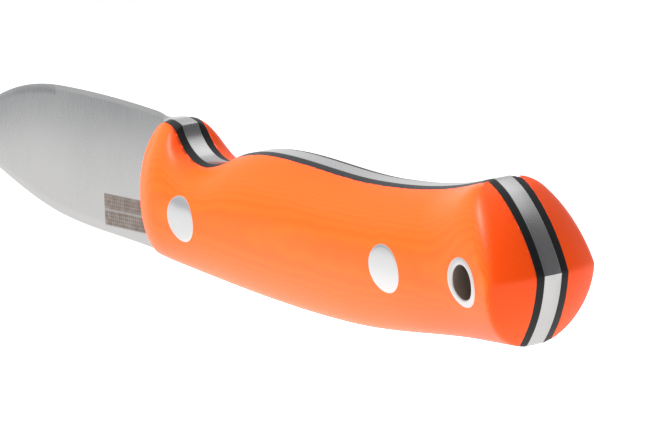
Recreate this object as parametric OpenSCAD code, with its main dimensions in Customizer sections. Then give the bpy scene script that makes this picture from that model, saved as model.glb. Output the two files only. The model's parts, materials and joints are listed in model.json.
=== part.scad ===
// Full-tang fixed-blade knife with a riveted grip, standing on its back with the cutting edge up.
// +X runs from the tip to the butt, +Z from the back to the edge, and -Y is the knife's right side.
// The origin is on the axis of the lanyard hole, halfway through the tang.

/* [Blade] */
// Thickness of the steel, along the back of the blade and all through the tang
steel_t = 3.3; // [2.8:0.1:4]
// Distance from the lanyard hole to the tip
tip_reach = 166; // [160:1:185]
// Height of the tip above the axis of the grip
tip_z = 5; // [3:0.5:8]
// Height of the belly of the cutting edge above the axis of the grip
edge_z = 17; // [16:0.25:19]
// Thickness of the steel just behind the edge bevel
edge_t = 0.7; // [0.4:0.1:1.2]
// Height of the edge bevel
bevel_h = 0.8; // [0.5:0.1:1.5]

/* [Grip] */
// Distance from the lanyard hole to the front of the scales
nose_reach = 97.7; // [96.5:0.1:98.5]
// Thickness of each liner
liner_t = 1.4; // [1:0.1:2]
// Thickness of the whole grip at the front fastener
front_w = 16.8; // [15:0.2:20]
// Thickness of the whole grip at the rear fastener
rear_w = 18; // [16:0.2:21]
// Thickness of the whole grip at the lanyard hole
hole_w = 19.3; // [17:0.1:22]
// Radius of the notch for the first finger
notch_r = 9; // [8.5:0.1:9.5]
// Distance from the lanyard hole to the crease across the butt
butt_reach = 10.8; // [10:0.1:12]
// Radius that rounds the butt from side to side
butt_round_r = 22; // [17:0.5:30]

/* [Fasteners] */
// Diameter of the fastener heads, sanded flush with the scales
head_d = 8; // [7:0.1:9]
// Diameter of the shoulder that passes through the liners and the tang
shoulder_d = 6.3; // [5:0.1:6.5]
// Diameter of the threaded stud inside the shoulder
stud_d = 3.2; // [2.5:0.1:4]
// Distance from the lanyard hole to the front fastener
front_reach = 80.2; // [78:0.1:82]
// Distance from the lanyard hole to the rear fastener
rear_reach = 21.3; // [18:0.1:30]
// Outer diameter of the lanyard tube
tube_od = 8; // [7:0.1:9]
// Inner diameter of the lanyard tube
tube_id = 5.5; // [4:0.1:6.4]

/* [Hidden] */

half_t = steel_t / 2;
inlay_t = half_t + liner_t;
nose_x = -nose_reach;

// Side view: each knot is [x, z, slope], and a cubic runs smoothly from one knot to the next.
heel_x = nose_x + 3.5;
notch_c = [-79.5, 8.5 + notch_r];
notch_start_x = -87.8;
notch_end_x = notch_c[0] + 1;
grip_end_x = 14;
back_knots = [
    [-tip_reach, tip_z, -0.35], [-128, -6.4, -0.13], [-97, -8.9, -0.11],
    [-38, -13.3, 0], [-4, -11.05, 0.03], [16, -10.4, 0.03]
];
edge_knots = [[-tip_reach, tip_z, 0.75], [-129, edge_z, 0], [-98, 15.55, -0.09], [heel_x, 14.7, -0.25]];
guard_knots = [[-98.5, 14.25, 0.1], [heel_x, 14.75, 0.1], [-91, 15, 0], [notch_start_x, 14.25, -0.4]];
grip_knots = [
    [notch_end_x, notch_z(notch_end_x), 0.11], [-68, 11.65, 0.22], [-60, 12.6, 0.02],
    [-31, 11.2, 0.01], [0, 15.4, 0.32], [16, 21, 0.4]
];
side_knots = [
    [nose_x, front_w / 2 - 0.5, 0.04], [-front_reach, front_w / 2, 0.015],
    [-rear_reach, rear_w / 2, 0.005], [0, hole_w / 2, 0.12], [16, hole_w / 2 + 1.8, 0.1]
];
// Height at which the grip is thickest
waist_z = 0.8;
// How far round their sections the scales start, where they meet the liners
edge_side_k = 0.35;
back_side_k = 0.15;
// The edge side of the sections is fuller by the notch and by the butt. Where each zone starts, is full,
// stops being full and ends, and then the start and the power of its sections
fuller_zones = [[-93, -86, -84, -73, 0.24, 0.75], [-14, 0, 30, 31, 0.11, 0.65]];
// How far the liners are rounded off on their way from the tang to the scales
round_off = 0.35;
// Lengths and heights of the rounding at the front of the scales
nose_top = [7, 10];
nose_back = [3.5, 4.5];
nose_side = 9;

// Blade section: the tip is thinner over tip_run, and the ground faces are hollowed by grind_power.
// Where the blade is lower than point_h its back thins too, so that it ends in a point.
point_h = 16;
tip_run = 45;
tip_thinning = 0.55;
grind_power = 1.7;
apex_half = 0.03;
// Close stations round the tip, where the outline turns quickly
tip_zone = 12;
// Where the full thickness of the tang starts to come out of the ground faces, and where it is reached
plunge_x = heel_x - 2;
plunge_end_x = heel_x - 0.3;
// The ends of the ground blade and of the tang sink into each other by this much, so no faces coincide
sunk = 0.02;

// Butt: two faces that meet at the crease, each rounded along its height and from side to side.
butt_crease = [butt_reach, 1.1];
butt_edge_corner = [0, 15.2];
butt_back_corner = [5.1, -10.8];
butt_edge_r = 27;
butt_back_r = 21.5;

front_at = [-front_reach, 0];
rear_at = [-rear_reach, -0.7];
// How deep under the widest part of the grip the fastener heads bear
head_seat_y = 5.2;
stud_grip = 4.5;
// Where the two halves of a fastener meet
joint_y = -0.5;
// Clear of the knife on both sides, and above and below it
far_y = 15;
far_z = 30;

function between(a, b, t) = a + (b - a) * t;
function reversed(list) = [for (i = [len(list) - 1 : -1 : 0]) list[i]];
function cubic(a, b, x) =
    let (w = b[0] - a[0], t = (x - a[0]) / w)
    a[1] * (1 + 2 * t) * pow(1 - t, 2) + b[1] * t * t * (3 - 2 * t)
    + w * t * (1 - t) * (a[2] * (1 - t) - b[2] * t);
function curve(knots, x, i = 0) =
    i >= len(knots) - 2 || x <= knots[i + 1][0]
    ? cubic(knots[i], knots[i + 1], x)
    : curve(knots, x, i + 1);

function notch_z(x) = notch_c[1] - sqrt(pow(notch_r, 2) - pow(x - notch_c[0], 2));
function tang_top(x) =
    x <= notch_start_x ? curve(guard_knots, x)
    : x < notch_end_x ? notch_z(x)
    : curve(grip_knots, x);
function tang_bottom(x) = curve(back_knots, x);

// A quarter ellipse that falls away over the first run[0] millimetres of the scales
function nose_drop(x, run) = run[1] * (1 - sqrt(1 - pow(max(0, 1 - (x - nose_x) / run[0]), 2)));
function grip_top(x) = tang_top(x) - nose_drop(x, nose_top);
function grip_bottom(x) = tang_bottom(x) + nose_drop(x, nose_back);
function scale_t(x) = (curve(side_knots, x) - inlay_t) * (1 - nose_drop(x, [nose_side, 1]));

// Stations along the grip: close together round the nose and the notch
notch_sweep = asin((notch_c[0] - notch_start_x) / notch_r);
nose_stations = [for (a = [15 : 12.5 : 90]) nose_x + nose_side * (1 - cos(a))];
notch_stations = [for (i = [0 : 8]) notch_c[0] + notch_r * sin(-notch_sweep + i * (notch_sweep + 6) / 8)];
grip_stations = [for (i = [1 : 37]) between(notch_end_x, grip_end_x, i / 37)];
stations = concat(nose_stations, notch_stations, grip_stations);

// One section of a scale, as half ellipses above and below the waist that start on the liner
section_steps = 8;
function section_half(x, z_end, k, power) = [
    for (i = [0 : section_steps])
        let (a = asin(k) + (90 - asin(k)) * i / section_steps, out = (sin(a) - k) / (1 - k))
        [x, inlay_t + scale_t(x) * pow(max(0, out), power),
            waist_z + (z_end - waist_z) * cos(a) / sqrt(1 - k * k)]
];
function ease(t) = let (s = min(1, max(0, t))) s * s * (3 - 2 * s);
function fullness(x, zone) =
    ease((x - zone[0]) / (zone[1] - zone[0])) * ease((zone[3] - x) / (zone[3] - zone[2]));
function fuller(plain, x, column, i = 0) =
    i == len(fuller_zones) ? plain
    : fuller(plain, x, column, i + 1)
        + fullness(x, fuller_zones[i]) * (fuller_zones[i][column] - plain);
function section(x) =
    let (
        back_half = section_half(x, grip_bottom(x) + round_off, back_side_k, 1),
        k = fuller(edge_side_k, x, 4),
        power = fuller(1, x, 5)
    )
    concat(
        section_half(x, grip_top(x) - round_off, k, power),
        reversed([for (i = [0 : section_steps - 1]) back_half[i]])
    );

// Closed solid through a list of rings with the same number of points
module loft(rings) {
    n = len(rings[0]);
    last = len(rings) - 1;
    walls = [
        for (i = [0 : last - 1], j = [0 : n - 1])
            let (a = i * n + j, b = i * n + (j + 1) % n)
            each [[a, b + n, b], [a, a + n, b + n]]
    ];
    caps = [[for (j = [0 : n - 1]) j], [for (j = [n - 1 : -1 : 0]) last * n + j]];
    polyhedron(points = [for (ring = rings) each ring], faces = concat(walls, caps));
}

// Extrudes a side view, drawn in x and z, from y0 to y1
module slab(y0, y1) {
    translate([0, y1, 0]) rotate([90, 0, 0]) linear_extrude(y1 - y0) children();
}

module rod(at, d, y0, y1) {
    slab(y0, y1) translate(at) circle(d = d, $fn = 64);
}

// Centre of the circle of radius r that passes through p and q and bulges towards +X
function arc_centre(p, q, r) =
    let (m = (p + q) / 2, d = (q - p) / norm(q - p), h = sqrt(r * r - pow(norm(q - p) / 2, 2)))
    m + h * [-abs(d[1]), d[0] * sign(d[1])];

module butt_barrel(from, to, r) {
    at = arc_centre(from, to, r);
    translate([at[0], 0, at[1]]) rotate([90, 0, 0])
        rotate_extrude($fn = 180)
            intersection() {
                translate([r - butt_round_r, 0]) circle(r = butt_round_r, $fn = 180);
                translate([0, -far_y]) square([r + 1, 2 * far_y]);
            }
}

// Everything that is ground away behind the two faces of the butt
module butt_waste() {
    difference() {
        translate([-4, -far_y - 1, -far_z]) cube([40, 2 * far_y + 2, 2 * far_z]);
        intersection() {
            butt_barrel(butt_edge_corner, butt_crease, butt_edge_r);
            butt_barrel(butt_crease, butt_back_corner, butt_back_r);
        }
    }
}

// Half thickness of the ground blade, from the back at f = 0 to the edge bevel at f = 1
function blade_half(x, f) =
    let (
        taper = min(1, 1 - tip_thinning + tip_thinning * (x + tip_reach) / tip_run),
        height = curve(edge_knots, x) - tang_bottom(x),
        deep = 1 - pow(1 - min(1, height / point_h), 2)
    )
    taper * (edge_t / 2 + (half_t - edge_t / 2) * deep * (1 - pow(f, grind_power)));
blade_steps = 7;
function blade_side(x) =
    let (
        inset = x < heel_x ? 0 : sunk,
        low = tang_bottom(x) + inset,
        high = curve(edge_knots, x),
        bevel = min(bevel_h, (high - low) / 4)
    )
    concat(
        [for (i = [0 : blade_steps])
            let (f = i / blade_steps)
            [x, blade_half(x, f) - inset, low + (high - bevel - low) * f]],
        [[x, apex_half, high]]
    );
function flipped(side) = reversed([for (p = side) [p[0], -p[1], p[2]]]);
blade_stations = concat(
    [for (i = [2 : 12]) -tip_reach + tip_zone * pow(i / 12, 2)],
    [for (i = [1 : 23]) between(-tip_reach + tip_zone, plunge_x, i / 23)],
    [heel_x]
);

module ground_blade() {
    loft([for (x = blade_stations) concat(blade_side(x), flipped(blade_side(x)))]);
}

// Full-thickness steel between the scales, with a plunge that runs out into the ground faces. The tang and
// the ground blade share the stations at the plunge and at the heel.
guard_stations = concat([plunge_x], [for (i = [0 : 5]) between(heel_x, notch_start_x, i / 6)]);
back_stations = [for (i = [0 : 27]) between(grip_end_x, heel_x, i / 27)];
module tang() {
    difference() {
        slab(-half_t, half_t)
            polygon(concat(
                [for (x = concat(guard_stations, notch_stations, grip_stations)) [x, tang_top(x)]],
                [for (x = back_stations) [x, tang_bottom(x)]],
                [[plunge_x, tang_bottom(plunge_x) + sunk]]
            ));
        for (side = [-1, 1])
            linear_extrude(2 * far_z, center = true)
                polygon([
                    [plunge_x, 0], [between(plunge_x, plunge_end_x, 2), side * steel_t],
                    [plunge_x - 1, side * steel_t], [plunge_x - 1, 0]
                ]);
    }
}

module fastener_holes(d) {
    rod(front_at, d, -far_y, far_y);
    rod(rear_at, d, -far_y, far_y);
}

module blade() {
    color("silver")
        difference() {
            union() {
                ground_blade();
                tang();
            }
            butt_waste();
            fastener_holes(shoulder_d);
            rod([0, 0], tube_od, -far_y, far_y);
        }
}

function liner_ring(x) = [
    [x, inlay_t, grip_bottom(x) + round_off], [x, inlay_t, grip_top(x) - round_off],
    [x, half_t, grip_top(x)], [x, half_t, grip_bottom(x)]
];
module liner(side) {
    color("dimgray")
        difference() {
            mirror([0, side < 0 ? 1 : 0, 0]) loft([for (x = stations) liner_ring(x)]);
            butt_waste();
            fastener_holes(shoulder_d);
            rod([0, 0], tube_od, -far_y, far_y);
        }
}

// The outer shape of one side of the grip, before the butt is ground and the holes are drilled
module scale_blank(side) {
    mirror([0, side < 0 ? 1 : 0, 0]) loft([for (x = stations) reversed(section(x))]);
}

module scale(side) {
    color("darkorange")
        difference() {
            scale_blank(side);
            butt_waste();
            fastener_holes(shoulder_d);
            mirror([0, side < 0 ? 1 : 0, 0]) {
                rod(front_at, head_d, head_seat_y, far_y);
                rod(rear_at, head_d, head_seat_y, far_y);
            }
            rod([0, 0], tube_od, -far_y, far_y);
        }
}

// A head that bears on its seat in one scale and is sanded flush with the grip
module flush_head(at, side) {
    intersection() {
        scale_blank(side);
        mirror([0, side < 0 ? 1 : 0, 0]) rod(at, head_d, head_seat_y, far_y);
    }
}

module fastener_screw(at) {
    color("gainsboro")
        union() {
            flush_head(at, -1);
            rod(at, shoulder_d, -head_seat_y, joint_y);
            rod(at, stud_d, joint_y, stud_grip);
        }
}

module fastener_nut(at) {
    color("gainsboro")
        difference() {
            union() {
                flush_head(at, 1);
                rod(at, shoulder_d, joint_y, head_seat_y);
            }
            rod(at, stud_d, joint_y - 1, stud_grip);
        }
}

module lanyard_tube() {
    color("whitesmoke")
        difference() {
            intersection() {
                rod([0, 0], tube_od, -far_y, far_y);
                union() {
                    scale_blank(-1);
                    scale_blank(1);
                    slab(-inlay_t, inlay_t) square(2 * tube_od, center = true);
                }
            }
            rod([0, 0], tube_id, -far_y, far_y);
        }
}

blade();
liner(-1);  // right_liner
liner(1);  // left_liner
scale(-1);  // right_scale
scale(1);  // left_scale
fastener_screw(front_at);  // front_fastener_screw
fastener_nut(front_at);  // front_fastener_nut
fastener_screw(rear_at);  // rear_fastener_screw
fastener_nut(rear_at);  // rear_fastener_nut
lanyard_tube();
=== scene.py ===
"""Looks for the full-tang knife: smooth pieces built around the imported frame, in the frame's own axes.

Shapes are worked out in millimetres and made in metres. +X runs from the tip to the butt, -Y is the
photographed side and +Z is the side of the cutting edge. The origin is on the axis of the lanyard hole."""
import json
import math

import bmesh
import bpy
import numpy as np
from mathutils import Matrix, Vector
from mathutils.bvhtree import BVHTree


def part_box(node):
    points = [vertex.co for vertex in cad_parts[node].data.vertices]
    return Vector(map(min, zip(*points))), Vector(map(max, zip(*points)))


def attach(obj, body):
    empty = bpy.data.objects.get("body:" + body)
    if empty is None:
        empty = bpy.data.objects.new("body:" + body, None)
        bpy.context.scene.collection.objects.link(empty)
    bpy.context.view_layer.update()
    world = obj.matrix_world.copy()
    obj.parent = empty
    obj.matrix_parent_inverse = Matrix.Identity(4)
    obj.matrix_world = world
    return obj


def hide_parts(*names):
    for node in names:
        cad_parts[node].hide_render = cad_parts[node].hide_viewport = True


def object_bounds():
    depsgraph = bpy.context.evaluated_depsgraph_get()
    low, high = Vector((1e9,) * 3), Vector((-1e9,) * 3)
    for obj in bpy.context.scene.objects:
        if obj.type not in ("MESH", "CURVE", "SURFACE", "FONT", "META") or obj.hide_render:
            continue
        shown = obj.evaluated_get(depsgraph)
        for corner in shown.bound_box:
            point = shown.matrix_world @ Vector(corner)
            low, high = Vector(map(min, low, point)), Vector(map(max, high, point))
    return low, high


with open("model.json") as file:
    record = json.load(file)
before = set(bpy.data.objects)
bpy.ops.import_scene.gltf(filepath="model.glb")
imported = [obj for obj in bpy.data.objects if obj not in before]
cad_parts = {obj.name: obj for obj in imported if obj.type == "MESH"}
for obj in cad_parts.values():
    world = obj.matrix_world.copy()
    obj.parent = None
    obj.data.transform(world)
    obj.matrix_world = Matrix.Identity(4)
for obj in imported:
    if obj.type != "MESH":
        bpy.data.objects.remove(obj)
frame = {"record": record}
cad_lo, cad_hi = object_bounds()
MM = 0.001


def box_mm(node):
    """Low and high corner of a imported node's box, in millimetres."""
    lo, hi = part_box(node)
    return np.array(lo) / MM, np.array(hi) / MM


# ---------------------------------------------------------------- sizes, in millimetres
blade_lo, blade_hi = box_mm("blade")
liner_lo, liner_hi = box_mm("left_liner")
tube_lo, tube_hi = box_mm("lanyard_tube")

TIP_X = blade_lo[0]
BUTT_X = blade_hi[0]
HALF_T = liner_lo[1]  # half the thickness of the tang
INLAY_T = liner_hi[1]  # from the middle of the tang to the outside of a liner
NOSE_SIDE = 9.0  # length of the rounding at the front of the scales, seen from above
FIRST_STATION = math.radians(15)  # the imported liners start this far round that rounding
NOSE_X = liner_lo[0] - NOSE_SIDE * (1 - math.cos(FIRST_STATION))
HEEL_X = NOSE_X + 3.5

# The blade's section
EDGE_T = 0.7  # thickness behind the bevel
BEVEL_H = 0.8
GRIND_POWER = 1.7
POINT_H = 16.0  # where the blade is lower than this its back thins too
TIP_RUN = 45.0  # the length over which the sides thin towards the tip
TIP_SHARE = 0.45  # how much of their thickness is left at the tip

# The grip's sections: where they are widest, how far round their ellipses they start at the top and at the
# back, and how much the liners are rounded off
WAIST_Z = 0.8
TOP_K = 0.35
BACK_K = 0.15
ROUND_OFF = 0.35
# Length and height of the rounding at the front of the scales, towards the edge and towards the back
NOSE_TOP = (7.0, 10.0)
NOSE_BACK = (3.5, 4.5)

NOTCH_C = (-79.5, 17.5)
NOTCH_R = 9.0
NOTCH_START = -87.8
NOTCH_END = NOTCH_C[0] + 1

# The butt's two faces: the ends and the radius of each one's arc in the side view
CREASE = (BUTT_X, 1.1)
UPPER_FACE = ((0.0, 15.2), CREASE, 27.0)
LOWER_FACE = (CREASE, (5.1, -10.8), 21.5)
BUTT_ROUND = 22.0  # radius of both faces from side to side
GRIP_END = -6.0  # past this station the pieces follow the faces of the butt
FAR_X = 12.0  # clear of the butt

TUBE_R = (tube_hi[0] - tube_lo[0]) / 2
BORE_R = frame["record"]["mounts"][0]["dims"]["r_mm"]
SHOULDER_R = 3.15
STUD_R = 1.6
HEAD_SEAT = 5.2  # from the middle of the tang to the underside of a fastener's head
JOINT_Y = -0.5  # where the screw's shoulder and the nut's sleeve meet
STUD_GRIP = 4.5  # how far the stud reaches into the nut, from the middle of the tang

# Zones along the grip whose upper sections are fuller: where each starts, is full, stops being full and ends,
# and the k and the power of its sections there
FULLER = [((-93, -86, -84, -73), 0.24, 0.75), ((-14, 0, 30, 31), 0.11, 0.65)]

# The same curves that the CAD source draws, as (x, z, slope) in the side view. SIDE is the outside of the
# scales seen from above, as (x, y, slope)
BACK = [
    (TIP_X, 5, -0.35), (-128, -6.4, -0.13), (-97, -8.9, -0.11),
    (-38, -13.3, 0), (-4, -11.05, 0.03), (16, -10.4, 0.03),
]
EDGE = [(TIP_X, 5, 0.75), (-129, 17, 0), (-98, 15.55, -0.09), (HEEL_X, 14.7, -0.25)]
GUARD = [(-98.5, 14.25, 0.1), (HEEL_X, 14.75, 0.1), (-91, 15, 0), (NOTCH_START, 14.25, -0.4)]
SIDE = [(NOSE_X, 7.9, 0.04), (-80.2, 8.4, 0.015), (-21.3, 9.0, 0.005), (0, 9.65, 0.12), (16, 11.45, 0.1)]


def curve(knots, x):
    """Cubic through the knots at x, an array."""
    k = np.array(knots, float)
    i = np.clip(np.searchsorted(k[:, 0], x, side="left") - 1, 0, len(k) - 2)
    a = k[i]
    b = k[i + 1]
    w = b[:, 0] - a[:, 0]
    t = (x - a[:, 0]) / w
    return (
        a[:, 1] * (1 + 2 * t) * (1 - t) ** 2
        + b[:, 1] * t * t * (3 - 2 * t)
        + w * t * (1 - t) * (a[:, 2] * (1 - t) - b[:, 2] * t)
    )


def ease(t):
    """Smooth step from 0 to 1, clamped."""
    t = np.clip(t, 0, 1)
    return t * t * (3 - 2 * t)


def smooth_min(a, b, k):
    """The lower of a and b, rounded over where they are within k of each other."""
    h = np.maximum(k - np.abs(a - b), 0) / k
    return np.minimum(a, b) - h * h * k / 4


def smooth_max(a, b, k):
    """The higher of a and b, rounded over in the same way."""
    return -smooth_min(-a, -b, k)


# ---------------------------------------------------------------- the side view
CORNER_BREAK = 0.35  # rounding of the notch's front corner
CORNER_FROM = NOTCH_START - 0.65  # which lies between these two
CORNER_TO = NOTCH_START + 0.6
SINK_FROM = -3.0  # from here to the butt the top sinks below its curve
SINK = 0.04


def notch_z(x):
    """Height of the finger notch's arc at x."""
    return NOTCH_C[1] - np.sqrt(np.maximum(NOTCH_R**2 - (x - NOTCH_C[0]) ** 2, 0))


GRIP = [
    (NOTCH_END, float(notch_z(NOTCH_END)), 0.11), (-68, 11.65, 0.22), (-60, 12.6, 0.02),
    (-31, 11.2, 0.01), (0, 15.4, 0.32), (16, 21, 0.4),
]


def tang_top(x):
    """Top of the tang at x: the guard, the notch with its front corner slightly broken, then the grip."""
    guard = curve(GUARD, x)
    notch = notch_z(x)
    corner = smooth_min(guard, notch, CORNER_BREAK)
    grip = curve(GRIP, x) - SINK * np.maximum(x - SINK_FROM, 0) ** 2
    zones = [x < CORNER_FROM, x < CORNER_TO, x < NOTCH_END]
    return np.select(zones, [guard, corner, notch], grip)


def tang_back(x):
    """Back of the blade and the tang at x."""
    return curve(BACK, x)


def nose_drop(x, run):
    """A quarter ellipse that falls away over the first run[0] millimetres of the scales, by run[1]."""
    f = np.clip(1 - (x - NOSE_X) / run[0], 0, 1)
    return run[1] * (1 - np.sqrt(1 - f**2))


def grip_top(x):
    """Top of the grip at x."""
    return tang_top(x) - nose_drop(x, NOSE_TOP)


def grip_back(x):
    """Back of the grip at x."""
    return tang_back(x) + nose_drop(x, NOSE_BACK)


def scale_t(x):
    """How thick a scale is at its waist."""
    return (curve(SIDE, x) - INLAY_T) * (1 - nose_drop(x, (NOSE_SIDE, 1.0)))


# ---------------------------------------------------------------- the butt's two faces
CREASE_BREAK = 0.12  # rounding of the crease between the two faces, which is hardly broken
TOP_RUN = 2.4  # height over which the butt is rounded in below the grip's top


def arc_centre(p, q, r):
    """Centre of the circle of radius r through p and q that bulges towards +X."""
    p = np.array(p, float)
    q = np.array(q, float)
    length = np.linalg.norm(q - p)
    d = (q - p) / length
    h = math.sqrt(r * r - (length / 2) ** 2)
    return (p + q) / 2 + h * np.array([-abs(d[1]), d[0] * np.sign(d[1])])


FACES = [(arc_centre(p, q, r), r) for p, q, r in (UPPER_FACE, LOWER_FACE)]


def face_r(i, y):
    """Radius of face i at y: each face is also rounded from side to side."""
    return FACES[i][1] - BUTT_ROUND + np.sqrt(BUTT_ROUND**2 - np.asarray(y, float) ** 2)


def face_x(i, y, z):
    """How far back face i lies at y, z."""
    cx, cz = FACES[i][0]
    return cx + np.sqrt(np.maximum(face_r(i, y) ** 2 - (z - cz) ** 2, 1e-6))


def corner_ease(z):
    """How far the butt is rounded in where it meets the grip's top."""
    return np.clip(1 - (UPPER_FACE[0][1] - z) / TOP_RUN, 0, 1.2) ** 2


def butt_x(y, z):
    """How far back the ground butt lies at y, z."""
    return smooth_min(face_x(0, y, z), face_x(1, y, z), CREASE_BREAK) - corner_ease(z)


def face_top(x, y):
    """Height of the butt's upper face at x, y."""
    cx, cz = FACES[0][0]
    z = np.full(len(x), UPPER_FACE[0][1])
    for _ in range(12):
        reach = np.maximum(x + corner_ease(z) - cx, 0)
        z = cz + np.sqrt(np.maximum(face_r(0, y) ** 2 - reach**2, 0))
    return z


def face_bottom(x, y):
    """Height of the butt's lower face at x, y."""
    cx, cz = FACES[1][0]
    return cz - np.sqrt(np.maximum(face_r(1, y) ** 2 - np.maximum(x - cx, 0) ** 2, 0))


def crease_at(y):
    """x and z of the crease at y, where the two faces' circles cross."""
    c0 = FACES[0][0]
    c1 = FACES[1][0]
    r0 = face_r(0, y)
    r1 = face_r(1, y)
    length = np.linalg.norm(c1 - c0)
    u = (c1 - c0) / length
    a = (r0**2 - r1**2 + length**2) / (2 * length)
    h = np.sqrt(r0**2 - a**2)
    mid = c0[None, :] + a[:, None] * u
    side = h[:, None] * np.array([u[1], -u[0]])
    return np.where(mid[:, :1] + side[:, :1] > mid[:, :1] - side[:, :1], mid + side, mid - side)


# ---------------------------------------------------------------- mesh helpers
def add_object(name, verts_mm, faces, weld=0.002):
    """A mesh object from millimetre points, welded, with outward normals."""
    mesh = bpy.data.meshes.new(name)
    mesh.from_pydata([tuple(v) for v in np.asarray(verts_mm) * MM], [], [tuple(f) for f in faces])
    bm = bmesh.new()
    bm.from_mesh(mesh)
    bmesh.ops.remove_doubles(bm, verts=bm.verts, dist=weld * MM)
    bmesh.ops.dissolve_degenerate(bm, edges=bm.edges, dist=weld * MM * 0.5)
    bmesh.ops.recalc_face_normals(bm, faces=bm.faces)
    bm.to_mesh(mesh)
    bm.free()
    obj = bpy.data.objects.new(name, mesh)
    bpy.context.scene.collection.objects.link(obj)
    return obj


def grid_faces(rows, cols, closed=False):
    """Quads of a rows x cols grid of points, whose rows may close on themselves."""
    out = []
    for i in range(rows - 1):
        for j in range(cols if closed else cols - 1):
            k = (j + 1) % cols
            here = i * cols
            after = (i + 1) * cols
            out.append((here + j, here + k, after + k, after + j))
    return out


def shade(obj, angle=32):
    """Smooth shading, with edges of more than this many degrees left sharp."""
    obj.data.shade_smooth()
    obj.data.set_sharp_from_angle(angle=math.radians(angle))


def lathe(name, profile, centre, steps=96, height=None):
    """Closed solid turned about an axis along Y through centre (x, z). profile is [(r, y), ...], from the
    axis out and back to it, or a loop off the axis. height(x, z, y) may move a ring's points along Y."""
    a = np.linspace(0, 2 * math.pi, steps, endpoint=False)
    rings = []
    for r, y in profile:
        x = centre[0] + r * np.cos(a)
        z = centre[1] + r * np.sin(a)
        rings.append(np.stack([x, height(x, z, y) if height else np.full(steps, y), z], 1))
    if profile[0][0] > 0:
        rings.append(rings[0])
    return add_object(name, np.concatenate(rings), grid_faces(len(rings), steps, closed=True), weld=0.0005)


def cut(obj, *tools):
    """Takes each tool away from obj. The tools are removed by the caller."""
    for tool in tools:
        mod = obj.modifiers.new("cut", "BOOLEAN")
        mod.operation = "DIFFERENCE"
        mod.solver = "EXACT"
        mod.object = tool
        bpy.context.view_layer.update()
        done = bpy.data.meshes.new_from_object(obj.evaluated_get(bpy.context.evaluated_depsgraph_get()))
        obj.modifiers.clear()
        old = obj.data
        obj.data = done
        bpy.data.meshes.remove(old)


def copy_of(obj, name):
    """A copy of the object with a mesh of its own."""
    made = obj.copy()
    made.data = obj.data.copy()
    made.name = name
    bpy.context.scene.collection.objects.link(made)
    return made


def flip_sides(obj):
    """Moves a piece to the other side of the tang."""
    obj.data.transform(Matrix.Diagonal((1, -1, 1, 1)))
    obj.data.flip_normals()


def mirrored(obj, name):
    """The same piece on the other side of the tang."""
    made = copy_of(obj, name)
    flip_sides(made)
    return made


def drop(*objs):
    """Removes objects and their meshes."""
    for o in objs:
        mesh = o.data
        bpy.data.objects.remove(o)
        bpy.data.meshes.remove(mesh)


NEAR = 0.02 * MM  # closer than this to a surface is on it


def keep_normals(obj, source):
    """After a cut, the faces that still lie on the source's surface keep the source's smooth normals."""
    src = source.data
    tree = BVHTree.FromPolygons([v.co for v in src.vertices], [p.vertices for p in src.polygons])
    normals = np.array([v.normal for v in src.vertices])
    mesh = obj.data
    kept = [n.vector.copy() for n in mesh.corner_normals]
    for p in mesh.polygons:
        for corner in p.loop_indices:
            co = mesh.vertices[mesh.loops[corner].vertex_index].co
            hit, face_normal, index, distance = tree.find_nearest(co)
            if hit is None or distance > NEAR or face_normal.dot(p.normal) < 0.8:
                continue
            around = list(src.polygons[index].vertices)
            d = np.array([(Vector(src.vertices[i].co) - co).length for i in around]) + 1e-7
            weights = (1 / d**2)[:, None]
            kept[corner] = Vector((normals[around] * weights).sum(0)).normalized()
    mesh.normals_split_custom_set([tuple(n) for n in kept])


# ---------------------------------------------------------------- stations and sections along the grip
def grip_stations():
    """x of each section from the nose to GRIP_END, closer together where the outline turns."""
    nose = NOSE_X + NOSE_SIDE * (1 - np.cos(np.radians(np.linspace(0, 84, 30))))
    before = np.arange(nose[-1] + 0.45, NOTCH_START - 0.4, 0.45)
    corner = np.linspace(NOTCH_START - 0.3, NOTCH_START + 0.5, 9)
    first = math.asin((NOTCH_START + 0.75 - NOTCH_C[0]) / NOTCH_R)
    last = math.asin((NOTCH_END - NOTCH_C[0]) / NOTCH_R)
    hollow = NOTCH_C[0] + NOTCH_R * np.sin(np.linspace(first, last, 30))
    grip = np.linspace(NOTCH_END, GRIP_END, 108)[1:]
    x = np.concatenate([nose, before, corner, hollow, grip])
    return x[np.concatenate([[True], np.diff(x) > 0.03])]


DIP = 0.12  # how far the scales' top dips by the butt, and over what length
DIP_RUN = 2.4


def broken_top(x):
    """Top of the grip where the scales start: the notch's front corner is broken, and the end dips."""
    by_corner = ease(2.2 - np.abs(x - NOTCH_START) / 1.2)
    broken = sum(grip_top(x + s) for s in (-1, -0.5, 0, 0.5, 1)) / 5
    dip = DIP * np.clip((x - SINK_FROM) / DIP_RUN, 0, 1) ** 2
    return grip_top(x) * (1 - by_corner) + broken * by_corner - dip


def reaches(x, upper):
    """The scale's true outline at x, and the softer one that its side follows by the notch's front corner."""
    true = np.where(upper, broken_top(x) - ROUND_OFF, grip_back(x) + ROUND_OFF)
    steps = (-5.2, -2.6, 0, 2.6, 5.2)
    weights = (1, 2, 2, 2, 1)
    even = sum(w * grip_top(x + s) for s, w in zip(steps, weights)) / sum(weights) - ROUND_OFF
    near = ease(2 - np.abs(x - NOTCH_START + 0.5) / 4) * upper
    return true, true + (even - true) * near


def section_form(x, upper):
    """How far round its ellipse a section starts, and the power that swells it."""
    k = TOP_K
    power = 1.0
    for (starts, full_from, full_to, ends), full_k, full_power in FULLER:
        full = ease((x - starts) / (full_from - starts)) * ease((ends - x) / (ends - full_to))
        k = k + (full_k - TOP_K) * full
        power = power + (full_power - 1) * full
    return np.where(upper, k, BACK_K), np.where(upper, power, 1)


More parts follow.
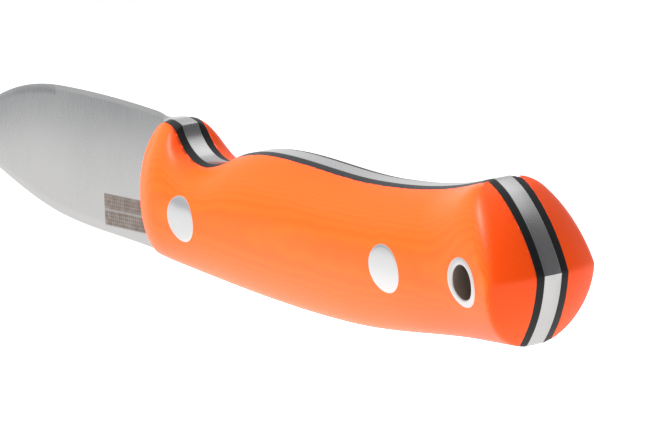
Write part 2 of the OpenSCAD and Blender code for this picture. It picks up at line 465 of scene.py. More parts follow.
def swell(x, sine, k, power):
    """y of the scale's surface, where sine goes from k at the liner to 1 at the waist."""
    return INLAY_T + scale_t(x) * (np.maximum(sine - k, 0) / (1 - k)) ** power


def section(x, u, upper):
    """Point of the scale's outer surface at x, from the liner at u = 0 to the waist at u = 1."""
    k, power = section_form(x, upper)
    a = np.arcsin(k) + (math.pi / 2 - np.arcsin(k)) * u
    true, soft = reaches(x, upper)
    c = np.cos(a) / np.sqrt(1 - k * k)
    z = WAIST_Z + (soft - WAIST_Z) * c + (true - soft) * c**4
    return swell(x, np.sin(a), k, power), z


def surface_y(x, z):
    """How far out the scale's surface lies over the side-view point x, z."""
    upper = z >= WAIST_Z
    k, power = section_form(x, upper)
    true, soft = reaches(x, upper)
    c = (z - WAIST_Z) / (true - WAIST_Z)
    for _ in range(12):
        c = (z - WAIST_Z - (true - soft) * c**4) / (soft - WAIST_Z)
    c = np.clip(c * np.sqrt(1 - k * k), -1, 1)
    return swell(x, np.sqrt(1 - c * c), k, power)


# ---------------------------------------------------------------- scales
SECTION_STEPS = 30  # from the liner to the waist
TAIL_STEPS = 15  # along the side, between GRIP_END and the butt's corner
BEND_STEPS = 9  # round the butt's corner
INWARD_STEPS = 16  # across the butt, in to the liner
PATH_STEPS = 60  # the same way, to measure it
# Width of the butt's side corner: at the liner, and how much wider it is halfway up the top or at the waist
TOP_CORNER = (1.2, 1.0)
BACK_CORNER = (0.8, 0.4)
CORNER_SHARE = 0.42  # of the way in to the liner, at the most


def side_ends(u, upper):
    """x at which each line along the side of a scale meets the ground butt, found by halving."""
    lo = np.full(len(u), GRIP_END)
    hi = np.full(len(u), FAR_X)
    for _ in range(40):
        mid = (lo + hi) / 2
        y, z = section(mid, u, upper)
        inside = mid < butt_x(y, z)
        lo = np.where(inside, mid, lo)
        hi = np.where(inside, hi, mid)
    return (lo + hi) / 2


def butt_path(end, waist, inner_z):
    """Points across the butt, from the end of a side line in to the liner, where they are at height inner_z.
    They keep their place between the rim and the crease. waist is the end of the line along the waist."""
    out = np.linspace(1, 0, PATH_STEPS)
    y = INLAY_T + (end[1] - INLAY_T) * out
    crease = crease_at(y)[:, 1]
    by_waist = crease + (waist[2] - crease_at(waist[1:2])[0, 1]) * out
    z = by_waist + (inner_z - crease[-1]) * (1 - out) + (end[2] - waist[2]) * out
    path = np.stack([butt_x(y, z), y, z], 1)
    path[0] = end
    return path


def points_at(path, lengths, distances):
    """Points on the path at these distances from its start. lengths holds those of its own points."""
    return np.stack([np.interp(distances, lengths, path[:, c]) for c in range(3)], -1)


def scale_line(stations, u, upper, end, waist, inner_z):
    """One line of points along the side of a scale, round the corner of the butt and in to the liner."""
    path = butt_path(end, waist, inner_z)
    lengths = np.concatenate([[0], np.cumsum(np.linalg.norm(np.diff(path, axis=0), axis=1))])
    narrow, wider = TOP_CORNER if upper else BACK_CORNER
    wide = narrow + wider * (math.sin(math.pi * u) if upper else u)
    corner = min(wide, CORNER_SHARE * lengths[-1])
    tail = np.linspace(0, 1, TAIL_STEPS + 1)[1:]
    x = np.concatenate([stations, GRIP_END + (end[0] - corner - GRIP_END) * tail])
    y, z = section(x, np.full(len(x), u), np.full(len(x), upper))
    side = np.stack([x, y, z], 1)
    t = np.linspace(0, 1, BEND_STEPS + 1)[1:-1, None]
    bend = (1 - t) ** 2 * side[-1] + 2 * t * (1 - t) * end + t * t * points_at(path, lengths, corner)
    inner = points_at(path, lengths, np.linspace(corner, lengths[-1], INWARD_STEPS))
    inner[-1, 1] = INLAY_T
    return np.concatenate([side, bend, inner])


def build_scale_blank():
    """A scale before it is drilled: lines from the nose to the butt and in to the liner, and a flat face."""
    u = np.concatenate([np.linspace(0, 1, SECTION_STEPS + 1), np.linspace(1, 0, SECTION_STEPS + 1)[1:]])
    upper = np.arange(len(u)) <= SECTION_STEPS
    x = side_ends(u, upper)
    y, z = section(x, u, upper)
    ends = np.stack([x, y, z], 1)
    waist = ends[SECTION_STEPS]
    rim_z = np.where(upper, z[0], z[-1])
    crease_z = crease_at(np.array([INLAY_T]))[0, 1]
    inner_z = crease_z + (z - waist[2]) / (rim_z - waist[2]) * (rim_z - crease_z)
    stations = grip_stations()
    lines = [scale_line(stations, u[i], upper[i], ends[i], waist, inner_z[i]) for i in range(len(u))]
    rows = len(lines)
    cols = len(lines[0])
    inner_face = list(range(cols)) + [i * cols + cols - 1 for i in range(1, rows)]
    inner_face += [(rows - 1) * cols + j for j in range(cols - 2, -1, -1)]
    inner_face += [i * cols for i in range(rows - 2, 0, -1)]
    obj = add_object("scale_blank", np.concatenate(lines), grid_faces(rows, cols) + [inner_face])
    bm = bmesh.new()
    bm.from_mesh(obj.data)
    bmesh.ops.triangulate(bm, faces=[f for f in bm.faces if len(f.verts) > 4])
    bm.to_mesh(obj.data)
    bm.free()
    shade(obj)
    return obj


# ---------------------------------------------------------------- liners, blade and tang
RIM_BREAK = 0.3  # rounding between the faces of the butt and the top and back of the tang and the liners
# Each level of a liner's side: how far out it is, and how much of ROUND_OFF it is rounded by
LINER_LEVELS = [(0.0, 0.0), (0.5, 0.4), (1.0, 1.0)]


def rim_columns(top, back, stations, y, steps=46):
    """x, top z and back z of a side-view outline at y, carried on from the stations to the butt's crease."""
    crease_x, crease_z = crease_at(np.array([y]))[0]
    t = 1 - (1 - np.linspace(0, 1, steps + 1)[1:]) ** 1.15
    x = np.concatenate([stations, GRIP_END + (crease_x - GRIP_END) * t])
    zt = np.where(x > GRIP_END, smooth_min(top(x), face_top(x, y), RIM_BREAK), top(x))
    zb = np.where(x > GRIP_END, smooth_max(back(x), face_bottom(x, y), RIM_BREAK), back(x))
    crossed = zt < zb
    crossed[-1] = True
    return x, np.where(crossed, crease_z, zt), np.where(crossed, crease_z, zb)


def build_liner():
    """A liner before it is drilled. Its outer half is rounded off, to meet the scale."""
    tops = []
    backs = []
    for share, rounded in LINER_LEVELS:
        y = HALF_T + (INLAY_T - HALF_T) * share
        off = ROUND_OFF * rounded

        def top(x):
            return grip_top(x) * (1 - share) + broken_top(x) * share - off

        def back(x):
            return grip_back(x) + off

        x, zt, zb = rim_columns(top, back, grip_stations(), y)
        tops.append(np.stack([x, np.full(len(x), y), zt], 1))
        backs.append(np.stack([x, np.full(len(x), y), zb], 1))
    # rings round each station: inner back, outer back, outer top, inner top
    ring = np.stack(backs + tops[::-1], 1)
    rows, cols, _ = ring.shape
    faces = grid_faces(rows, cols, closed=True) + [tuple(range(cols))]
    obj = add_object("liner_blank", ring.reshape(-1, 3), faces)
    shade(obj)
    return obj


PLUNGE_X = HEEL_X - 1.8  # where the grind starts to run out into the tang
PLUNGE_RUN = 2.6
PLUNGE_BLEND = 0.25
DENSE_FROM = HEEL_X - 4.4  # the stations are close together from here
DENSE_TO = HEEL_X + 1.2  # to here
TIP_ZONE = 12.0  # and over this length of the tip
BLADE_LEVELS = np.linspace(0, 1, 22)  # up the flat of each side, from the back to the bevel
APEX_HALF = 0.03  # half the width of the cutting edge
TANG_BREAK = 0.1  # chamfer along the top of the tang
SPINE_BREAK = 0.22  # chamfer along the back
SPINE_NARROWS = 0.55  # how much narrower that is on the tang
BLADE_SHARP = 14  # the blade's edges are sharp from this angle, in degrees


def blade_stations():
    """x of each section from the tip to GRIP_END, closer together at the tip and round the heel."""
    tip = TIP_X + TIP_ZONE * np.linspace(0, 1, 26) ** 2
    body = np.linspace(TIP_X + TIP_ZONE, DENSE_FROM, 84)[1:]
    plunge = np.linspace(DENSE_FROM, DENSE_TO, 36)[1:]
    guard = np.arange(HEEL_X + 1.4, NOTCH_START - 0.5, 0.35)
    grip = grip_stations()
    return np.concatenate([tip, body, plunge, guard, grip[grip > NOTCH_START - 0.32]])


def blade_top(x):
    """Top of the blade at x: the cutting edge, then a short step at the heel, then the tang."""
    edge = curve(EDGE, np.minimum(x, HEEL_X + 0.5))
    behind = ease((x - (HEEL_X - 1.6)) / 2)
    return edge * (1 - behind) + tang_top(np.maximum(x, -98)) * behind


def blade_side(x, zt, zb):
    """Rows of points up the blade's left side: the back's chamfer, the flat, and the bevel or the tang's."""
    height = zt - zb
    behind = np.clip((x - PLUNGE_X) / PLUNGE_RUN, 0, 1)
    bevel = np.minimum(BEVEL_H, height / 4) * (1 - behind) + TANG_BREAK * behind
    bevel = np.minimum(bevel, height * 0.3)
    spine = np.minimum(SPINE_BREAK, height * 0.2) * (1 - SPINE_NARROWS * behind)
    z = (zb + spine)[:, None] + (height - bevel - spine)[:, None] * BLADE_LEVELS

    taper = np.minimum(1, TIP_SHARE + (1 - TIP_SHARE) * (x - TIP_X) / TIP_RUN)
    # where the blade is lower than POINT_H its back thins too, so that it ends in a point
    deep = 1 - (1 - np.minimum(1, height / POINT_H)) ** 2
    hollow = (HALF_T - EDGE_T / 2) * deep[:, None] * (1 - BLADE_LEVELS**GRIND_POWER)
    ground = taper[:, None] * (EDGE_T / 2 + hollow)
    full = HALF_T * ease(behind)[:, None]
    y = np.minimum(smooth_max(ground, full, PLUNGE_BLEND), HALF_T)
    y = np.where(behind[:, None] >= 1, HALF_T, y)
    y = np.where(behind[:, None] <= 0, ground, y)

    thinned = y[:, -1] - EDGE_T / 2 * taper * (1 - behind) - TANG_BREAK * behind
    top_y = np.where(behind >= 1, HALF_T - TANG_BREAK, np.maximum(APEX_HALF, thinned))
    back_y = y[:, 0] - np.minimum(SPINE_BREAK, y[:, 0] * 0.3) * (1 - SPINE_NARROWS * behind)
    y = np.concatenate([back_y[:, None], y, top_y[:, None]], 1)
    z = np.concatenate([zb[:, None], z, zt[:, None]], 1)
    return np.stack([np.broadcast_to(x[:, None], y.shape), y, z], 2)


def build_blade():
    """Blade and tang in one: rings of a section that is ground ahead of the heel and full behind it."""
    stations = blade_stations()
    left = blade_side(*rim_columns(blade_top, tang_back, stations, HALF_T))
    right = left * (1, -1, 1)
    x, zt, zb = rim_columns(blade_top, tang_back, stations, 0.0)
    back = np.stack([x, np.zeros(len(x)), zb], 1)[:, None]
    top = np.stack([x, np.zeros(len(x)), zt], 1)[:, None]
    ring = np.concatenate([back, left, top, right[:, ::-1]], 1)
    ring[0] = ring[0].mean(axis=0)  # the tip is one point
    rows, cols, _ = ring.shape
    obj = add_object("blade_steel", ring.reshape(-1, 3), grid_faces(rows, cols, closed=True), weld=0.001)
    bm = bmesh.new()
    bm.from_mesh(obj.data)
    bmesh.ops.holes_fill(bm, edges=bm.edges, sides=0)
    bmesh.ops.recalc_face_normals(bm, faces=bm.faces)
    bm.to_mesh(obj.data)
    bm.free()
    shade(obj, BLADE_SHARP)
    return obj


# ---------------------------------------------------------------- fasteners and tube
OUT = 100.0  # y of OUT + d means d outside the left scale's surface, and of -OUT - d the same on the right
PROUD = 0.012  # how far the hardware stands out of the scales
TUBE_AT = (0.0, 0.0)
# Where the drills start and stop: through a scale, and through the tang and the liners
SCALE_FROM = 1
SCALE_TO = 16
THIN_HALF = 6


def on_surface(x, z, y):
    """y of points at x, z, where a y near OUT or -OUT is measured from the surface of a scale."""
    if y > OUT / 2:
        return surface_y(x, z) + (y - OUT)
    if y < -OUT / 2:
        return -surface_y(x, z) + (y + OUT)
    return np.full(len(x), y)


def centre_of(node):
    """Centre in the side view, and radius, of a round piece that lies across the knife."""
    lo, hi = box_mm(node)
    return ((lo[0] + hi[0]) / 2, (lo[2] + hi[2]) / 2), (hi[0] - lo[0]) / 2


def fastener(name, node, screw):
    """One half of a two-piece fastener, its head sanded flush with the scale and its rim hardly broken. The
    screw ends in a stud and the nut has a bore for it. The screw is made on the left and flipped over."""
    at, r = centre_of(node)
    joint, end = (-JOINT_Y, -STUD_GRIP) if screw else (JOINT_Y, STUD_GRIP)
    head = [(q, OUT + PROUD) for q in np.linspace(0, r - 0.09, 9)]
    rim = [(r - 0.03, OUT - 0.01), (r, OUT - 0.07)]
    shoulder = [(r, HEAD_SEAT), (SHOULDER_R, HEAD_SEAT), (SHOULDER_R, joint)]
    stud = [(STUD_R, joint), (STUD_R, end), (0, end)]
    obj = lathe(name, head + rim + shoulder + stud, at, height=on_surface)
    if screw:
        flip_sides(obj)
    shade(obj)
    return obj


def tube(name):
    """The lanyard tube, sanded flush at both ends, with a rounded mouth."""
    end = [
        (TUBE_R, -0.06), (TUBE_R - 0.03, 0.0), (TUBE_R - 0.1, PROUD), (TUBE_R - 0.5, PROUD),
        (BORE_R + 0.3, PROUD), (BORE_R + 0.2, -0.02), (BORE_R + 0.06, -0.12), (BORE_R, -0.3),
    ]
    profile = [(r, OUT + d) for r, d in end] + [(r, -OUT - d) for r, d in end[::-1]]
    obj = lathe(name, profile, TUBE_AT, 112, on_surface)
    shade(obj, 40)
    return obj


def drill(name, at, steps):
    """A cutting tool along Y: steps are (radius, from y, to y)."""
    profile = [(0, steps[0][1])]
    for r, y0, y1 in steps:
        profile += [(r, y0), (r, y1)]
    profile.append((0, steps[-1][2]))
    return lathe(name, profile, at)


# ---------------------------------------------------------------- the ten pieces
front_at, head_r = centre_of("front_fastener_screw")
rear_at, _ = centre_of("rear_fastener_screw")

counterbore = [(SHOULDER_R, SCALE_FROM, HEAD_SEAT), (head_r, HEAD_SEAT, SCALE_TO)]
scale_tools = [
    drill("tool_front", front_at, counterbore),
    drill("tool_rear", rear_at, counterbore),
    drill("tool_tube", TUBE_AT, [(TUBE_R, SCALE_FROM, SCALE_TO)]),
]
thin_tools = [
    drill("tool_front_thin", front_at, [(SHOULDER_R, -THIN_HALF, THIN_HALF)]),
    drill("tool_rear_thin", rear_at, [(SHOULDER_R, -THIN_HALF, THIN_HALF)]),
    drill("tool_tube_thin", TUBE_AT, [(TUBE_R, -THIN_HALF, THIN_HALF)]),
]

blade = build_blade()
cut(blade, *thin_tools)
shade(blade, BLADE_SHARP)

scale_blank = build_scale_blank()
left_scale = copy_of(scale_blank, "left_scale_laminate")
cut(left_scale, *scale_tools)
shade(left_scale)
keep_normals(left_scale, scale_blank)

liner_blank = build_liner()
left_liner = copy_of(liner_blank, "left_liner_laminate")
cut(left_liner, *thin_tools)
shade(left_liner)

right_blank = mirrored(scale_blank, "scale_blank_right")
right_scale = mirrored(left_scale, "right_scale_laminate")
shade(right_scale)
keep_normals(right_scale, right_blank)

right_liner = mirrored(left_liner, "right_liner_laminate")
shade(right_liner)

drop(scale_blank, right_blank, liner_blank, *scale_tools, *thin_tools)

front_screw = fastener("front_screw_head_and_stud", "front_fastener_screw", True)
front_nut = fastener("front_nut_head_and_sleeve", "front_fastener_nut", False)
rear_screw = fastener("rear_screw_head_and_stud", "rear_fastener_screw", True)
rear_nut = fastener("rear_nut_head_and_sleeve", "rear_fastener_nut", False)
lanyard = tube("lanyard_tube_flared")


# ---------------------------------------------------------------- node trees
class Nodes:
    """A node tree, built from short calls."""

    def __init__(self, tree):
        self.tree = tree

    def node(self, kind, **values):
        """A new node of this kind, with its own properties set."""
        n = self.tree.nodes.new(kind)
        for k, v in values.items():
            setattr(n, k, v)
        return n

    def link(self, value, socket):
        """Feeds a socket with another node's output, an RGB colour or a number."""
        if isinstance(value, bpy.types.NodeSocket):
            self.tree.links.new(value, socket)
        elif isinstance(value, tuple):
            socket.default_value = (*value, 1)
        else:
            socket.default_value = value

    def vector(self, operation, a, b, output="Vector"):
        """A vector operation between a's output and the plain vector b."""
        n = self.node("ShaderNodeVectorMath", operation=operation)
        self.link(a, n.inputs[0])
        n.inputs[1].default_value = b
        return n.outputs[output]

    def mix(self, factor, a, b):
        """Colour a where the factor is 0 and b where it is 1."""
        n = self.node("ShaderNodeMix", data_type="RGBA")
        self.link(factor, n.inputs[0])
        self.link(a, n.inputs[6])
        self.link(b, n.inputs[7])
        return n.outputs[2]

    def span(self, value, a, b, c, d, kind="LINEAR"):
        """value mapped from a..b to c..d, clamped."""
        n = self.node("ShaderNodeMapRange", clamp=True, interpolation_type=kind)
        self.link(value, n.inputs[0])
        for i, v in enumerate((a, b, c, d)):
            n.inputs[i + 1].default_value = v
        return n.outputs[0]


class Material(Nodes):
    """A material whose nodes feed one shader. Lengths in it are in millimetres."""

    SOCKETS = {
        "color": "Base Color",
        "rough": "Roughness",
        "metal": "Metallic",
        "spec": "Specular IOR Level",
        "normal": "Normal",
        "glow_color": "Emission Color",
        "glow": "Emission Strength",
    }

    def __init__(self, name):
        self.mat = bpy.data.materials.new(name)
        self.mat.use_nodes = True
        super().__init__(self.mat.node_tree)
        self.shader = self.tree.nodes["Principled BSDF"]
        self.place = self.node("ShaderNodeTexCoord").outputs["Object"]
        self.fed = {}

    def set(self, **values):
        """Feeds the shader's sockets by their short names. fed keeps what each one got."""
        for name, value in values.items():
            self.link(value, self.shader.inputs[self.SOCKETS[name]])
            self.fed[name] = value

    def scaled(self, x=1, y=1, z=1):
        """Object coordinates in millimetres, times a factor on each axis."""
        return self.vector("MULTIPLY", self.place, (x / MM, y / MM, z / MM))

    def split(self, vector):
        """x, y and z of a vector."""
        n = self.node("ShaderNodeSeparateXYZ")
        self.link(vector, n.inputs[0])
        return n.outputs

    def math(self, op, a, b=None, c=None, clamp=False):
        n = self.node("ShaderNodeMath", operation=op, use_clamp=clamp)
        for i, v in enumerate((a, b, c)):
            if v is not None:
                self.link(v, n.inputs[i])
        return n.outputs[0]

    def add(self, a, b):
        return self.math("ADD", a, b)

    def minus(self, a, b):
        return self.math("SUBTRACT", a, b)

    def times(self, a, b):
        return self.math("MULTIPLY", a, b)

    def times_add(self, a, b, c):
        return self.math("MULTIPLY_ADD", a, b, c)

    def wave(self, value, length):
        """Sine of the value, with this wavelength."""
        return self.math("SINE", self.times(value, 2 * math.pi / length))

    def noise(self, vector, scale=1.0, detail=2.0, rough=0.5):
        n = self.node("ShaderNodeTexNoise")
        self.link(vector, n.inputs["Vector"])
        n.inputs["Scale"].default_value = scale
        n.inputs["Detail"].default_value = detail
        n.inputs["Roughness"].default_value = rough
        return n.outputs["Fac"]

    def ramp(self, value, stops):
        """Colour of the value between the stops, (position, colour). The first two are the ramp's own."""
        n = self.node("ShaderNodeValToRGB")
        self.link(value, n.inputs[0])
        elements = n.color_ramp.elements
        for i, (position, colour) in enumerate(stops):
            element = elements[i] if i < 2 else elements.new(position)
            element.position = position
            element.color = (*colour, 1)
        return n.outputs["Color"]

    def edges(self):
        """Above 0.5 on edges and corners that stand out."""
        return self.node("ShaderNodeNewGeometry").outputs["Pointiness"]

    def bump(self, height, distance_mm, strength):
        """A normal tilted by the slope of a height between 0 and 1."""
        n = self.node("ShaderNodeBump")
        n.inputs["Strength"].default_value = strength
        n.inputs["Distance"].default_value = distance_mm * MM
        self.link(height, n.inputs["Height"])
        return n.outputs["Normal"]


# ---------------------------------------------------------------- materials
def laminate(name, base, deep, light, layer_mm, weave_mm, rough, strength):
    """Cloth laminate, sanded: its layers lie flat across the knife, so they show as contour lines on the
    rounded sides and as fine lines on the butt, and each shows its weave. The edges are a little lighter."""
    m = Material(name)
    at = m.scaled()
    x, y, z = m.split(at)
    wander = m.times(m.minus(m.noise(at, 0.16, 3.0), 0.5), 0.5)
    layer = m.wave(m.add(y, wander), layer_mm)
    weave = m.times(m.wave(x, weave_mm), m.wave(z, weave_mm))
    grain = m.noise(at, 1.9, 4.0, 0.65)
    mottled = m.noise(at, 0.11)

    lines = m.times_add(layer, 0.5, 0.5)
    cloth = m.times_add(weave, 0.22, lines)
    cloth = m.add(m.times(cloth, 0.6), m.times(grain, 0.4))
    colour = m.ramp(cloth, [(0.05, deep), (0.52, base), (1.0, light)])
    colour = m.mix(m.span(mottled, 0.35, 0.7, 0.0, 0.15), colour, deep)
    colour = m.mix(m.span(m.edges(), 0.52, 0.58, 0.0, 0.35), colour, light)

    by_grain = m.span(grain, 0.3, 0.7, rough - 0.05, rough + 0.06)
    roughness = m.add(by_grain, m.times(lines, 0.03))
    relief = m.add(m.times(weave, 0.25), m.times(grain, 0.8))
    relief = m.add(m.times(lines, 0.5), relief)
    m.set(color=colour, rough=roughness, spec=0.2, normal=m.bump(relief, 0.02, strength))
    return m


# How the coordinates are scaled for lines along one axis
ALONG_X = (0.035, 1.0, 1.0)
ALONG_Z = (1.0, 1.0, 0.03)


def brushed(name, base, dark, rough, along, strength, coarse=1.0):
    """Satin metal: fine lines along one direction, with a few deeper ones. The edges are a bit brighter."""
    m = Material(name)
    x, y, z = along
    fine = m.noise(m.scaled(x, y, z), 4.0 / coarse)
    deep = m.noise(m.scaled(x * 0.6, y, z * 0.6), 2.2 / coarse)
    cloud = m.noise(m.scaled(), 0.06, 3.0)

    lines = m.add(m.times(fine, 0.7), m.times(deep, 0.3))
    colour = m.ramp(lines, [(0.25, dark), (0.72, base)])
    colour = m.mix(m.span(cloud, 0.4, 0.75, 0.0, 0.25), colour, dark)
    worn = tuple(1.12 * v for v in base)
    colour = m.mix(m.span(m.edges(), 0.53, 0.60, 0.0, 0.5), colour, worn)

    by_lines = m.span(lines, 0.3, 0.7, rough - 0.03, rough + 0.03)
    roughness = m.add(by_lines, m.span(cloud, 0.3, 0.8, -0.02, 0.05))
    m.set(color=colour, metal=1.0, rough=roughness, normal=m.bump(lines, 0.012, strength))
    return m


# The etched panel on the right face of the blade, and the gap between its two bands
ETCH_X = (-114.8, -101.6)
ETCH_Z = (-6.2, -0.6)
ETCH_GAP_Z = (-3.55, -3.2)
ETCH_SOFT = 0.12
ETCH_COLOUR = (0.21, 0.16, 0.13)
HATCH_MM = 1.3


def within(m, value, limits):
    """1 between the two limits and 0 outside them, with soft ends."""
    low, high = limits
    rising = m.span(value, low - ETCH_SOFT, low + ETCH_SOFT, 0, 1)
    falling = m.span(value, high - ETCH_SOFT, high + ETCH_SOFT, 1, 0)
    return m.times(rising, falling)


def add_etch(m):
    """A plain etched panel low on the right face of the blade, near the grip: hatching, no lettering."""
    at = m.scaled()
    x, y, z = m.split(at)
    on_right = m.math("LESS_THAN", y, -0.3)
    panel = m.times(m.times(within(m, x, ETCH_X), within(m, z, ETCH_Z)), on_right)
    hatch = m.times(m.wave(m.add(x, z), HATCH_MM), m.wave(m.minus(x, z), HATCH_MM))
    blotch = m.noise(at, 0.9, 3.0)
    ink = m.add(m.span(hatch, -0.5, 0.5, 0.70, 0.95), m.span(blotch, 0.35, 0.65, -0.12, 0.1))
    gap = m.times(within(m, z, ETCH_GAP_Z), 0.5)
    fill = m.math("MULTIPLY", m.times(panel, ink), m.minus(1.0, gap), clamp=True)
    m.set(color=m.mix(fill, m.fed["color"], ETCH_COLOUR), rough=m.add(m.fed["rough"], m.times(fill, 0.25)))


# painted shade: the colour of the bore's inner wall, darkened to stand in for the shade inside the tube
BORE_PAINTED_SHADE = (0.46, 0.39, 0.34)


def paint_bore_shade(m):
    """The tube's inner wall is unpolished and rougher, and its colour is darkened as painted shade inside the
    bore.
    """
    x, y, z = m.split(m.scaled())
    r = m.math("SQRT", m.add(m.times(x, x), m.times(z, z)))
    # where the painted shade of the bore lies
    inside = m.span(r, BORE_R + 0.02, BORE_R + 0.10, 1, 0)
    m.set(color=m.mix(inside, m.fed["color"], BORE_PAINTED_SHADE), rough=m.times_add(inside, 0.15, m.fed["rough"]))


orange = laminate(
    "orange_cloth_laminate",
    base=(0.94, 0.077, 0.002),
    deep=(0.925, 0.067, 0.0015),
    light=(0.955, 0.088, 0.0035),
    layer_mm=0.42,
    weave_mm=0.85,
    rough=0.36,
    strength=0.10,
)
black = laminate(
    "black_cloth_laminate",
    base=(0.006, 0.0065, 0.007),
    deep=(0.003, 0.0035, 0.004),
    light=(0.016, 0.017, 0.018),
    layer_mm=0.35,
    weave_mm=0.7,
    rough=0.42,
    strength=0.3,
)
steel = brushed(
    "blade_satin_steel",
    base=(0.45, 0.445, 0.44),
    dark=(0.435, 0.43, 0.425),
    rough=0.25,
    along=ALONG_Z,
    strength=0.015,
)
pin = brushed(
    "fastener_satin_steel",
    base=(0.60, 0.60, 0.60),
    dark=(0.57, 0.57, 0.57),
    rough=0.32,
    along=ALONG_X,
    strength=0.08,
    coarse=0.8,
)
ring = brushed(
    "tube_satin_steel",
    base=(0.56, 0.555, 0.545),
    dark=(0.53, 0.525, 0.515),
    rough=0.30,
    along=ALONG_X,
    strength=0.08,
    coarse=0.8,
)
add_etch(steel)
# paints shade inside the tube's bore
paint_bore_shade(ring)

PARTS = [
    (blade, steel, "blade", "blade_steel"),
    (right_scale, orange, "right_scale", "orange_laminate"),
    (left_scale, orange, "left_scale", "orange_laminate"),
    (right_liner, black, "right_liner", "black_liner"),
    (left_liner, black, "left_liner", "black_liner"),
    (front_screw, pin, "front_fastener_screw", "fastener_steel"),
    (front_nut, pin, "front_fastener_nut", "fastener_steel"),
    (rear_screw, pin, "rear_fastener_screw", "fastener_steel"),
    (rear_nut, pin, "rear_fastener_nut", "fastener_steel"),
    (lanyard, ring, "lanyard_tube", "tube_steel"),
]
for obj, material, node, slot in PARTS:
    obj.data.materials.clear()
    obj.data.materials.append(material.mat)
    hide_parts(node)
    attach(obj, "root")


# ---------------------------------------------------------------- floor and room
FLOOR_HALF = 0.33  # half the side of the floor, in metres
FLOOR_SHIFT = -0.05  # its middle is this far towards the tip
FLOOR_GLOW = 1.2
GRIP_GLOW = 1.6  # added under the grip


def floor_material():
    """Pale and evenly lit, and brighter under the grip to fill the underside of the scales."""
    m = Material("pale_floor")
    x, y, z = m.split(m.scaled())
    beside = m.span(m.math("ABSOLUTE", y), 10, 40, 1, 0)
    under_grip = m.times(m.span(x, -108, -85, 0, 1), m.span(x, -25, 0, 1, 0.35))
    # the extra light is mostly kept out of reflections, where it would burn out the fasteners
    reflected = m.node("ShaderNodeLightPath").outputs["Is Glossy Ray"]
    extra = m.times(m.times(beside, under_grip), m.times_add(reflected, -0.7, 1.0))
    glow = m.times_add(extra, GRIP_GLOW, m.times_add(reflected, -0.04, FLOOR_GLOW))
    m.set(color=(0.08, 0.08, 0.08), rough=0.8, spec=0.0, glow_color=(1, 1, 1), glow=glow)
    return m


def build_floor():
    """One square under the knife."""
    mesh = bpy.data.meshes.new("floor")
    corners = [(-1, -1), (1, -1), (1, 1), (-1, 1)]
    points = [(x * FLOOR_HALF + FLOOR_SHIFT, y * FLOOR_HALF, cad_lo.z) for x, y in corners]
    mesh.from_pydata(points, [], [(0, 1, 2, 3)])
    mesh.materials.append(floor_material().mat)
    obj = bpy.data.objects.new("floor", mesh)
    bpy.context.scene.collection.objects.link(obj)
    return obj


floor = build_floor()

scene = bpy.context.scene
scene.view_settings.view_transform = "Standard"
scene.view_settings.look = "None"

OPEN_STUDIO = (0.88, 0.89, 0.91)
# direction, how flat the patch is, its colour, and how far from its middle it is full and ends
PATCHES = [
    ((-0.81, -0.58, -0.02), 3.0, (0.40, 0.43, 0.46), 0.15, 0.70),
    ((0.88, 0.26, 0.34), 1.0, (0.19, 0.19, 0.20), 0.60, 1.25),
    ((-1.0, 0.12, 0.03), 1.0, (1.5, 1.5, 1.5), 0.25, 0.60),
]


def build_room():
    """A studio that lights the knife from all sides, with soft patches to reflect, behind plain white."""
    world = bpy.data.worlds.new("studio")
    scene.world = world
    world.use_nodes = True
    world.node_tree.nodes.clear()
    w = Nodes(world.node_tree)
    around = w.node("ShaderNodeTexCoord").outputs["Generated"]
    room = OPEN_STUDIO
    for towards, flat, colour, full, ends in PATCHES:
        squash = Vector((1, 1, flat))
        seen = w.vector("MULTIPLY", around, squash)
        away = w.vector("DISTANCE", seen, Vector(towards).normalized() * squash, "Value")
        room = w.mix(w.span(away, ends, full, 0, 1, "SMOOTHSTEP"), room, colour)
    lit = w.node("ShaderNodeBackground")
    w.link(room, lit.inputs["Color"])
    plain = w.node("ShaderNodeBackground")
    w.link((1, 1, 1), plain.inputs["Color"])
    pick = w.node("ShaderNodeMixShader")
    w.link(w.node("ShaderNodeLightPath").outputs["Is Camera Ray"], pick.inputs[0])
    w.link(lit.outputs[0], pick.inputs[1])
    w.link(plain.outputs[0], pick.inputs[2])
    w.link(pick.outputs[0], w.node("ShaderNodeOutputWorld").inputs["Surface"])


build_room()


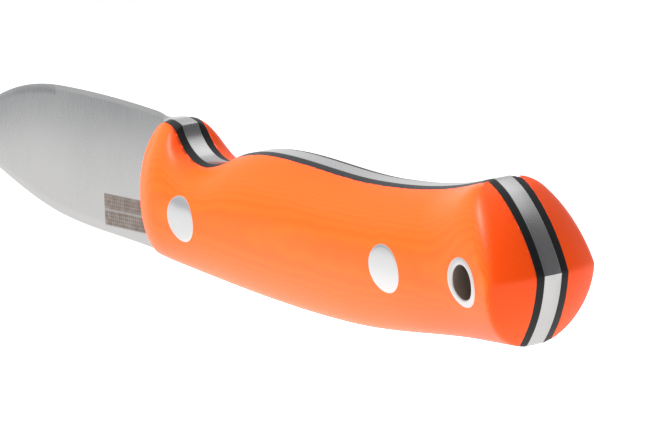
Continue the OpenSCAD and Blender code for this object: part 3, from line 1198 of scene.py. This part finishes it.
# ---------------------------------------------------------------- lights
def softbox(name, aim, offset, size, watts):
    """A square light, offset from what it is aimed at."""
    data = bpy.data.lights.new(name, "AREA")
    data.shape = "SQUARE"
    data.size = size
    data.energy = watts
    obj = bpy.data.objects.new(name, data)
    obj.location = aim + Vector(offset)
    obj.rotation_mode = "QUATERNION"
    obj.rotation_quaternion = (-Vector(offset)).to_track_quat("-Z", "Y")
    scene.collection.objects.link(obj)
    return obj


middle = (cad_lo + cad_hi) / 2
butt_end = middle + Vector((0.07, 0, 0))
softbox("overhead", middle, (0.0, 0.2, 1.0), size=1.0, watts=2.5)
key = softbox("key", middle, (-0.46, -0.65, 0.61), size=0.7, watts=25)
key.visible_glossy = False

# a small light seen only as a soft reflection in the scales, on the butt's rounded side corner
sheen = softbox("corner_sheen", butt_end, (0.045, -0.423, 0.783), size=0.2, watts=8)
sheen.visible_diffuse = False
scales_only = bpy.data.collections.new("scales_only")
scales_only.objects.link(right_scale)
scales_only.objects.link(left_scale)
sheen.light_linking.receiver_collection = scales_only

# ---------------------------------------------------------------- camera
# The pinhole camera fitted to the photo, in millimetres and degrees
CAMERA_AIM = (-49.12, 0.0, 2.825)
CAMERA_AWAY = 714.115
LENS = 241.4
SENSOR_WIDTH = 36
AZIMUTH = math.radians(55.334)
ELEVATION = math.radians(10.775)
ROLL = math.radians(-3.506)


def build_camera():
    """A long lens at the fitted azimuth, elevation and roll."""
    data = bpy.data.cameras.new("camera")
    data.sensor_width = SENSOR_WIDTH
    data.lens = LENS
    data.clip_start = 0.01
    data.clip_end = 20
    back = Vector((
        math.sin(AZIMUTH) * math.cos(ELEVATION),
        -math.cos(AZIMUTH) * math.cos(ELEVATION),
        math.sin(ELEVATION),
    ))
    level = Vector((math.cos(AZIMUTH), math.sin(AZIMUTH), 0))
    up = back.cross(level)
    right = level * math.cos(ROLL) + up * math.sin(ROLL)
    above = up * math.cos(ROLL) - level * math.sin(ROLL)
    obj = bpy.data.objects.new("camera", data)
    turned = Matrix((right, above, back)).transposed().to_4x4()
    obj.matrix_world = Matrix.Translation((Vector(CAMERA_AIM) + back * CAMERA_AWAY) * MM) @ turned
    scene.collection.objects.link(obj)
    return obj


scene.camera = build_camera()
